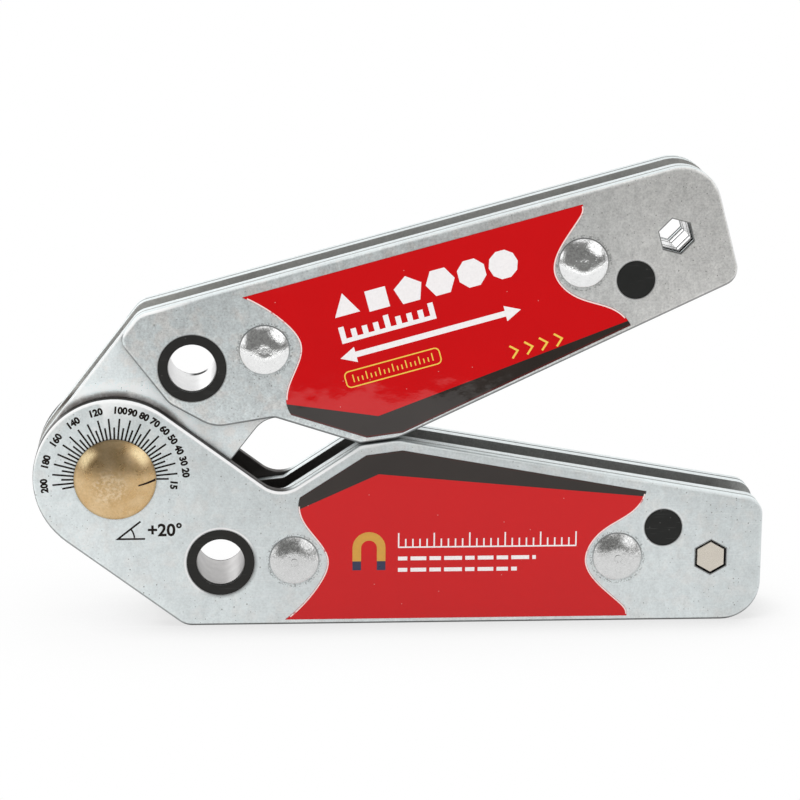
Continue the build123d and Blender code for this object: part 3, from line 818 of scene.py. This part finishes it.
def rounded_frame(left, bottom, right, top, radius, width):
    """A rounded rectangle drawn with a stroke."""
    corners = ((right - radius, bottom + radius, -90), (right - radius, top - radius, 0),
               (left + radius, top - radius, 90), (left + radius, bottom + radius, 180))
    points = []
    for x, y, start in corners:
        points += arc_points((x, y), radius, start, start + 90, 6)
    return ribbon(points, width, closed=True)


def print_mesh(name, body, sheets, to_world, outward):
    """One piece from several inks. sheets: (polygons, material); to_world puts (u, v) on the surface."""
    verts, faces, slots = [], [], []
    top = outward * (INK_T - INK_SINK)
    bottom = -outward * INK_SINK
    for index, (polygons, _) in enumerate(sheets):
        for polygon in polygons:
            start = len(verts)
            count = len(polygon)
            base = [to_world(*p) for p in polygon]
            verts += [p + Vector((0, top, 0)) for p in base] + [p + Vector((0, bottom, 0)) for p in base]
            ring = list(range(start, start + count))
            faces.append(ring)
            faces.append([i + count for i in reversed(ring)])
            faces += [
                (ring[i - 1], ring[i - 1] + count, ring[i] + count, ring[i]) for i in range(count)
            ]
            slots += [index] * (count + 2)
    mesh = bpy.data.meshes.new(name)
    mesh.from_pydata(verts, [], faces)
    for _, material in sheets:
        mesh.materials.append(material)
    mesh.polygons.foreach_set("material_index", slots)
    tidy_normals(mesh)
    add_piece(mesh, body)


def add_piece(mesh, body):
    """Makes a mesh a piece of the object, named after the mesh."""
    piece = bpy.data.objects.new(mesh.name, mesh)
    bpy.context.scene.collection.objects.link(piece)
    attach(piece, body)


def tidy_normals(mesh):
    """Turns every face outward."""
    work = bmesh.new()
    work.from_mesh(mesh)
    bmesh.ops.recalc_face_normals(work, faces=work.faces)
    work.to_mesh(mesh)
    work.free()


FILM_MIDDLE = 95.0          # arm millimetres along, about the middle of a film


def film_to_world(arm, side):
    """Maps (right, up) as read on that side of a film to the row frame."""
    along, across = ARM_AXES[arm]
    up = across if arm == "base" else -across
    flip = -SIDES[side]
    face = FILM_FACE[(arm, side)]

    def place(u, v):
        x = FILM_MIDDLE + flip * (u - FILM_MIDDLE)
        spot = PIVOT + along * x * MM + up * v * MM
        return Vector((spot.x, face, spot.z))

    return place


WHITE_INK = print_ink("ink_white", PRINT_WHITE)
YELLOW_INK = print_ink("ink_yellow", PRINT_YELLOW)
OCHRE_INK = print_ink("ink_ochre", PRINT_OCHRE)
NAVY_INK = print_ink("ink_navy", PRINT_NAVY)
DARK_INK = print_ink("ink_dark", INK, 0.25, 0.12)


def tick_row(left, pitch, count, width, foot, heights, every):
    """Upright ticks. The heights are those of the long and the short ones; a long one comes at `every`."""
    row = []
    for tick in range(count):
        x = left + tick * pitch
        row += box(x, foot, x + width, foot + heights[0 if tick % every == 0 else 1])
    return row


def swing_film_graphics():
    """Generic marks: a row of regular shapes, a bold scale, a double arrow and a framed tick row."""
    white, yellow = [], []
    shape_x, shape_y, shape_pitch, shape_radius = 73.7, 29.3, 8.9, 4.1
    for index, corners in enumerate((3, 4, 5, 6, 8, 10)):
        spin = 90 if corners % 2 else 90 - 180 / corners
        middle = (shape_x + index * shape_pitch, shape_y)
        white.append(tuple(arc_points(middle, shape_radius, spin, spin + 360, corners)[:-1]))
    white += box(70.2, 19.7, 96.9, 20.9)
    white += tick_row(70.2, 3.15, 9, 1.5, 20.9, (3.5, 2.3), 4)
    white += box(73.0, 15.1, 115.4, 16.7)
    white += [((68.6, 15.9), (73.0, 13.7), (73.0, 18.1)), ((119.8, 15.9), (115.4, 18.1), (115.4, 13.7))]
    yellow += rounded_frame(68.4, 7.3, 95.2, 11.8, 1.3, 0.34)
    yellow += tick_row(70.44, 22.4 / 18, 19, 0.32, 8.5, (2.2, 1.3), 3)
    chevron_x, chevron_pitch = 114.2, 4.2
    for index in range(4):
        x = chevron_x + index * chevron_pitch
        yellow += ribbon(((x, 3.2), (x + 1.9, 5.0), (x, 6.8)), 0.55)
    return [(white, WHITE_INK), (yellow, YELLOW_INK)]


def dashed_line(left, right, y, half):
    """A line of dashes of four lengths in turn, which ends exactly at the right."""
    lengths, gap, shortest = (2.6, 4.4, 3.2, 5.0), 0.9, 1.0
    dashes = []
    x = left
    while x < right - shortest:
        dash = min(lengths[len(dashes) % len(lengths)], right - x)
        dashes += box(x, y - half, x + dash, y + half)
        x += dash + gap
    return dashes


def base_film_graphics():
    """Generic marks: a horseshoe magnet, a fine scale and two dashed lines."""
    magnet_left, magnet_right, magnet_foot = 66.6, 73.4, -24.2
    bend = arc_points((70.0, -20.4), 3.4, 180, 0, 14)
    ochre = ribbon([(magnet_left, magnet_foot), *bend, (magnet_right, magnet_foot)], 2.4)
    navy = []
    for x in (magnet_left, magnet_right):
        navy += box(x - 1.2, -26.8, x + 1.2, magnet_foot)
    white = box(78.1, -20.45, 128.0, -20.05)
    white += tick_row(78.05, 49.6 / 25, 26, 0.4, -20.05, (3.9, 2.2), 5)
    white += dashed_line(78.1, 116.7, -23.5, 0.55)
    white += dashed_line(78.1, 111.4, -26.8, 0.55)
    return [(white, WHITE_INK), (ochre, OCHRE_INK), (navy, NAVY_INK)]


for arm_name, sheets in (("swing", swing_film_graphics()), ("base", base_film_graphics())):
    for side_name, outward_y in SIDES.items():
        to_world = film_to_world(arm_name, side_name)
        print_mesh(f"{arm_name}_film_print_{side_name}", BODY[arm_name], sheets, to_world, outward_y)


# ---- pale cut edges where the films curve round the rivets ----
CUT_W = 0.40                # millimetres, like those below
CUT_HALF_T = 0.02
STRAIGHT_FROM, STRAIGHT_TO = 62, 122    # along the arm, where a film's edges are straight
CURVE_TOP_NEAR, CURVE_TOP_FAR = -8.0, -5.5
CORNER = 0.2                # left out at a film's outer edge


def outline(piece, outward):
    """Points round the outer face of a flat node, in order."""
    mesh = piece.data
    edges = set()
    for polygon in mesh.polygons:
        if polygon.normal.y * outward > 0.99:
            corners = [tuple(round(c, 6) for c in mesh.vertices[i].co) for i in polygon.vertices]
            for here, there in zip(corners, corners[1:] + corners[:1]):
                if (there, here) in edges:
                    edges.remove((there, here))
                else:
                    edges.add((here, there))
    onward = dict(edges)
    loop = [min(onward)]
    while onward[loop[-1]] != loop[0]:
        loop.append(onward[loop[-1]])
    return [Vector(point) for point in loop]


def curved_ends(arm, loop):
    """The longest run of neighbouring points on the curve at each end of a film."""
    along, across = ARM_AXES[arm]
    outer_y = min((point - PIVOT).dot(across) / MM for point in loop)
    runs = [[]]
    for point in loop + loop:
        x = (point - PIVOT).dot(along) / MM
        y = (point - PIVOT).dot(across) / MM
        top = CURVE_TOP_NEAR if x < FILM_MIDDLE else CURVE_TOP_FAR
        if outer_y + CORNER < y < top and not STRAIGHT_FROM < x < STRAIGHT_TO:
            runs[-1].append(point)
        elif runs[-1]:
            runs.append([])
    longest = {}
    for run in runs:
        if len(run) > 4:
            far_end = (run[0] - PIVOT).dot(along) / MM > FILM_MIDDLE
            longest[far_end] = max(longest.get(far_end, []), run, key=len)
    return list(longest.values())


def cut_edges(arm, side, outward, material):
    """Thin raised strips along the curved ends of a film."""
    face = FILM_FACE[(arm, side)]
    top = face + outward * CUT_HALF_T * MM
    bottom = face - outward * CUT_HALF_T * MM
    verts, faces = [], []
    for run in curved_ends(arm, outline(nodes[f"{arm}_label_{side}"], outward)):
        start = len(verts)
        for i, here in enumerate(run):
            before = run[max(i - 1, 0)]
            after = run[min(i + 1, len(run) - 1)]
            inward = Vector((0, outward, 0)).cross((after - before).normalized())
            for inset in (CUT_HALF_T, CUT_W):
                edge = here + inward * inset * MM
                verts += [Vector((edge.x, top, edge.z)), Vector((edge.x, bottom, edge.z))]
        for i in range(len(run) - 1):
            a = start + 4 * i
            for first, second in ((0, 2), (2, 3), (3, 1), (1, 0)):
                faces.append((a + first, a + second, a + 4 + second, a + 4 + first))
        last = start + 4 * (len(run) - 1)
        faces.append((start, start + 1, start + 3, start + 2))
        faces.append((last, last + 2, last + 3, last + 1))
    mesh = bpy.data.meshes.new(f"{arm}_film_edge_{side}")
    mesh.from_pydata(verts, [], faces)
    mesh.materials.append(material)
    tidy_normals(mesh)
    add_piece(mesh, BODY[arm])


PAPER = cut_paper("film_paper")
for arm_name in BODY:
    for side_name, outward_y in SIDES.items():
        cut_edges(arm_name, side_name, outward_y, PAPER)


# ---- the dial, printed on the base arm's hub round the pivot ----
READING_OFFSET = 15         # the pointer shows 15 when it lies along the base arm
DIAL_NUMBERS = (20, 30, 40, 50, 60, 70, 80, 90, 100, 120, 140, 160, 180, 200)
TICK_START, LONG_TICK_END, SHORT_TICK_END = 11.3, 17.2, 14.7
TICK_W = 0.48
NUMBER_R, FIRST_NUMBER_R = 19.4, 16.1
FIRST_NUMBER_TURN = -6
NUMBER_SIZE = 2.62
BOLDNESS = 0.13
ICON_CORNER = Vector((0.5, -17.1))      # of the angle icon, from the pivot in millimetres
ICON_ENDS = ((6.8, -12.1), (8.0, -17.1))
NOTE_AT, NOTE_SIZE = Vector((13.5, -14.8)), 4.9


def dial_to_world(u, v):
    return Vector((PIVOT.x + u * MM, PLATE_FACE, PIVOT.z + v * MM))


def dial_text(body, radius, angle, size, turn=None):
    """Mesh of one printed number. Its top points outward unless a turn is given."""
    curve = bpy.data.curves.new("digits", "FONT")
    curve.body = body
    curve.size = size * MM
    curve.offset = BOLDNESS * MM
    curve.extrude = INK_T / 2
    curve.align_x = "CENTER"
    curve.align_y = "CENTER"
    curve.resolution_u = 3
    text = bpy.data.objects.new("digits", curve)
    bpy.context.scene.collection.objects.link(text)
    bpy.context.view_layer.update()
    mesh = bpy.data.meshes.new_from_object(text.evaluated_get(bpy.context.evaluated_depsgraph_get()))
    bpy.data.objects.remove(text)
    upright = Matrix.Rotation(radians(90), 4, "X")
    spin = Matrix.Rotation(-radians(angle - 90 if turn is None else turn), 4, "Y")
    spot = dial_to_world(radius * cos(radians(angle)), radius * sin(radians(angle)))
    spot.y -= INK_T / 2 - INK_SINK
    mesh.transform(Matrix.Translation(spot) @ spin @ upright)
    return mesh


def join_meshes(name, meshes, material, body):
    """One piece from several meshes, all in one ink."""
    work = bmesh.new()
    for mesh in meshes:
        work.from_mesh(mesh)
    bmesh.ops.remove_doubles(work, verts=work.verts, dist=1e-7)
    joined = bpy.data.meshes.new(name)
    work.to_mesh(joined)
    work.free()
    joined.materials.clear()
    joined.materials.append(material)
    joined.polygons.foreach_set("material_index", [0] * len(joined.polygons))
    add_piece(joined, body)


def build_dial():
    ticks = []
    for reading in range(15, 206, 5):
        turn = radians(reading - READING_OFFSET)
        direction = Vector((cos(turn), sin(turn)))
        end = LONG_TICK_END if reading % 10 == 0 else SHORT_TICK_END
        ticks += ribbon((direction * TICK_START, direction * end), TICK_W)
    ticks += ribbon((ICON_ENDS[0], ICON_CORNER, ICON_ENDS[1]), 0.5)
    ticks += ribbon(arc_points(ICON_CORNER, 4.6, 4, 37, 6), 0.42)
    print_mesh("dial_ticks", BODY["base"], [(ticks, DARK_INK)], dial_to_world, -1)
    numbers = [
        dial_text(str(reading), NUMBER_R, reading - READING_OFFSET, NUMBER_SIZE)
        for reading in DIAL_NUMBERS
    ]
    numbers.append(dial_text("15", FIRST_NUMBER_R, FIRST_NUMBER_TURN, NUMBER_SIZE))
    note_angle = degrees(atan2(NOTE_AT.y, NOTE_AT.x))
    numbers.append(dial_text("+20°", NOTE_AT.length, note_angle, NOTE_SIZE, turn=0))
    join_meshes("dial_numbers", numbers, DARK_INK, BODY["base"])


build_dial()


# ---- pointer line on the brass dome ----
POINTER_STEPS = 14
POINTER_SAG = 0.10 * MM
POINTER_HALF_START, POINTER_HALF_GROWTH = 0.20, 0.16    # millimetres
POINTER_RISE, POINTER_SINK = 0.03 * MM, 0.12 * MM


def build_pointer():
    """A thin dark line draped over the dome, almost radial, ending at its rim."""
    dome = BVHTree.FromObject(nodes["pivot_pin"], bpy.context.evaluated_depsgraph_get())
    start = DOME_R * 0.58 * Vector((cos(radians(-11)), sin(radians(-11))))
    end = DOME_R * 0.985 * Vector((1, 0))
    verts, faces = [], []
    for i in range(POINTER_STEPS + 1):
        t = i / POINTER_STEPS
        spot = start.lerp(end, t) + Vector((0, -POINTER_SAG)) * sin(pi * t)
        half = (POINTER_HALF_START + POINTER_HALF_GROWTH * t) * MM
        for shift in (-half, 0, half):
            origin = Vector((PIVOT.x + spot.x, -0.05, PIVOT.z + spot.y + shift))
            hit = dome.ray_cast(origin, Vector((0, 1, 0)))[0]
            verts.append(hit + Vector((0, -POINTER_RISE, 0)))
            verts.append(hit + Vector((0, POINTER_SINK, 0)))

    def vertex(i, column, low):
        return 6 * i + 2 * column + low

    for i in range(POINTER_STEPS):
        for column in (0, 1):
            faces.append([vertex(i, column, 0), vertex(i + 1, column, 0),
                          vertex(i + 1, column + 1, 0), vertex(i, column + 1, 0)])
            faces.append([vertex(i, column + 1, 1), vertex(i + 1, column + 1, 1),
                          vertex(i + 1, column, 1), vertex(i, column, 1)])
        for column in (0, 2):
            faces.append([vertex(i, column, 0), vertex(i, column, 1),
                          vertex(i + 1, column, 1), vertex(i + 1, column, 0)])
    for i in (0, POINTER_STEPS):
        for column in (0, 1):
            faces.append([vertex(i, column, 0), vertex(i, column + 1, 0),
                          vertex(i, column + 1, 1), vertex(i, column, 1)])
    mesh = bpy.data.meshes.new("pointer_mark")
    mesh.from_pydata(verts, [], faces)
    mesh.materials.append(print_ink("pointer_dark", POINTER_DARK, 0.2, 0.1))
    tidy_normals(mesh)
    add_piece(mesh, BODY["swing"])


build_pointer()


# ---- studio ----
TABLE_EDGE = -0.296         # metal sees a dark room beyond this
STRIP_FROM, STRIP_FULL = -0.21, -0.235
FLOOR_HALF = 4.0
FLOOR_PALE = (0.93, 0.93, 0.93)
WHITE = (1.0, 1.0, 1.0)
ROOM = (0.20, 0.20, 0.195)
BACK_WALL = (1.05, 1.05, 1.05)
LEFT_WALL = (1.15, 1.15, 1.15)
BACK_LEFT = (1.7, 1.7, 1.7)
TABLE_NEAR = (0.90, 0.90, 0.90)
TABLE_STRIP = (1.5, 1.5, 1.5)
SOFTBOX = (1.2, 1.2, 1.2)
SOFTBOX_AT = Vector((0.62, -0.62, 0.48)).normalized()


def build_floor():
    """Pale table. The camera sees the white room through it, darkened where the object is near.

    The swing arm turns below the table's height near the end of its travel and stays visible.
    """
    mesh = bpy.data.meshes.new("floor")
    corners = [(x * FLOOR_HALF, y * FLOOR_HALF, 0) for x, y in ((-1, -1), (1, -1), (1, 1), (-1, 1))]
    mesh.from_pydata(corners, [], [(0, 1, 2, 3)])
    floor = bpy.data.objects.new("floor", mesh)
    bpy.context.scene.collection.objects.link(floor)
    s = Surface("floor_paper")
    fibre = s.noise(40, 3, 0.5)
    s.finish(s.brighten(FLOOR_PALE, s.fit(fibre, 0.02, 0.985)), 0.9, 0.0)
    path = s.add("ShaderNodeLightPath")
    close = s.step(s.shade(17), 0.45, 0.95, 0.84, 1.0)
    wide = s.step(s.shade(60), 0.45, 0.92, 0.91, 1.0)
    veil = s.add("ShaderNodeBsdfTransparent", Color=s.brighten(WHITE, s.product(close, wide)))
    lit = s.add("ShaderNodeMixShader", Fac=path.outputs["Is Camera Ray"])
    s.tree.links.new(s.bsdf.outputs[0], lit.inputs[1])
    s.tree.links.new(veil.outputs[0], lit.inputs[2])
    # Mirror rays see an even table, a brighter strip at its front edge and the dark room beyond.
    ahead = s.dot(s.geometry.outputs["Position"], (0, 1, 0))
    strip = s.step(ahead, STRIP_FROM, STRIP_FULL)
    beyond = s.step(ahead, TABLE_EDGE + 0.008, TABLE_EDGE - 0.008)
    table = s.mix(strip, TABLE_NEAR, TABLE_STRIP)
    mirror = s.add("ShaderNodeEmission", Color=s.mix(beyond, table, ROOM), Strength=1.0)
    blend = s.add("ShaderNodeMixShader", Fac=path.outputs["Is Glossy Ray"])
    s.tree.links.new(lit.outputs[0], blend.inputs[1])
    s.tree.links.new(mirror.outputs[0], blend.inputs[2])
    s.tree.links.new(blend.outputs[0], s.output.inputs["Surface"])
    mesh.materials.append(s.material)


def build_world():
    """White for direct and diffuse rays. Mirror rays see a dark room in front, white behind and above."""
    world = bpy.data.worlds.new("studio")
    bpy.context.scene.world = world
    world.use_nodes = True
    n = NodeBuilder(world.node_tree)
    direction = n.add("ShaderNodeTexCoord").outputs["Generated"]

    def towards(axis, start, end):
        return n.step(n.dot(direction, axis), start, end)

    front = towards((0, -1, 0), 0.05, 0.45)
    low = towards((0, 0, 1), 0.92, 0.74)
    back = towards((-0.35, 0.937, 0), 0.93, 0.98)
    room = n.mix(n.product(front, low), n.mix(back, BACK_WALL, BACK_LEFT), ROOM)
    room = n.mix(towards(tuple(SOFTBOX_AT), 0.90, 0.95), room, SOFTBOX)
    room = n.mix(towards((-1, 0, 0), 0.72, 0.88), room, LEFT_WALL)
    mirror_ray = n.add("ShaderNodeLightPath").outputs["Is Glossy Ray"]
    background = n.add("ShaderNodeBackground", Color=n.mix(mirror_ray, WHITE, room), Strength=1.0)
    output = n.add("ShaderNodeOutputWorld")
    n.tree.links.new(background.outputs[0], output.inputs["Surface"])


def area_light(name, at, target, size, power):
    data = bpy.data.lights.new(name, "AREA")
    data.shape = "DISK"
    data.size = size
    data.energy = power
    light = bpy.data.objects.new(name, data)
    light.location = at
    light.visible_glossy = False
    light.rotation_euler = (Vector(target) - Vector(at)).to_track_quat("-Z", "Y").to_euler()
    bpy.context.scene.collection.objects.link(light)


CAMERA_AT = (-0.0483, -0.7548, 0.2392)
CAMERA_DOWN, CAMERA_RIGHT, CAMERA_ROLL = radians(13.23), radians(3.68), radians(0.42)
CAMERA_LENS = 125.1


def build_camera():
    data = bpy.data.cameras.new("camera")
    data.lens = CAMERA_LENS
    data.sensor_width = 36
    camera = bpy.data.objects.new("camera", data)
    level_ahead = Vector((sin(CAMERA_RIGHT), cos(CAMERA_RIGHT), 0))
    forward = level_ahead * cos(CAMERA_DOWN) - Vector((0, 0, sin(CAMERA_DOWN)))
    right = Vector((cos(CAMERA_RIGHT), -sin(CAMERA_RIGHT), 0))
    up = right.cross(forward)
    level = right * cos(CAMERA_ROLL) + up * sin(CAMERA_ROLL)
    upright = up * cos(CAMERA_ROLL) - right * sin(CAMERA_ROLL)
    turn = Matrix((level, upright, -forward)).transposed().to_4x4()
    camera.matrix_world = Matrix.Translation(CAMERA_AT) @ turn
    bpy.context.scene.collection.objects.link(camera)
    bpy.context.scene.camera = camera


build_floor()
build_world()
area_light("overhead", (0.1, 0.4, 1.25), (0, 0, 0.05), 1.1, 2.2)
area_light("key", (0.75, -0.85, 0.85), (0, 0, 0.06), 0.5, 1.2)
build_camera()
bpy.context.scene.view_settings.view_transform = "Standard"
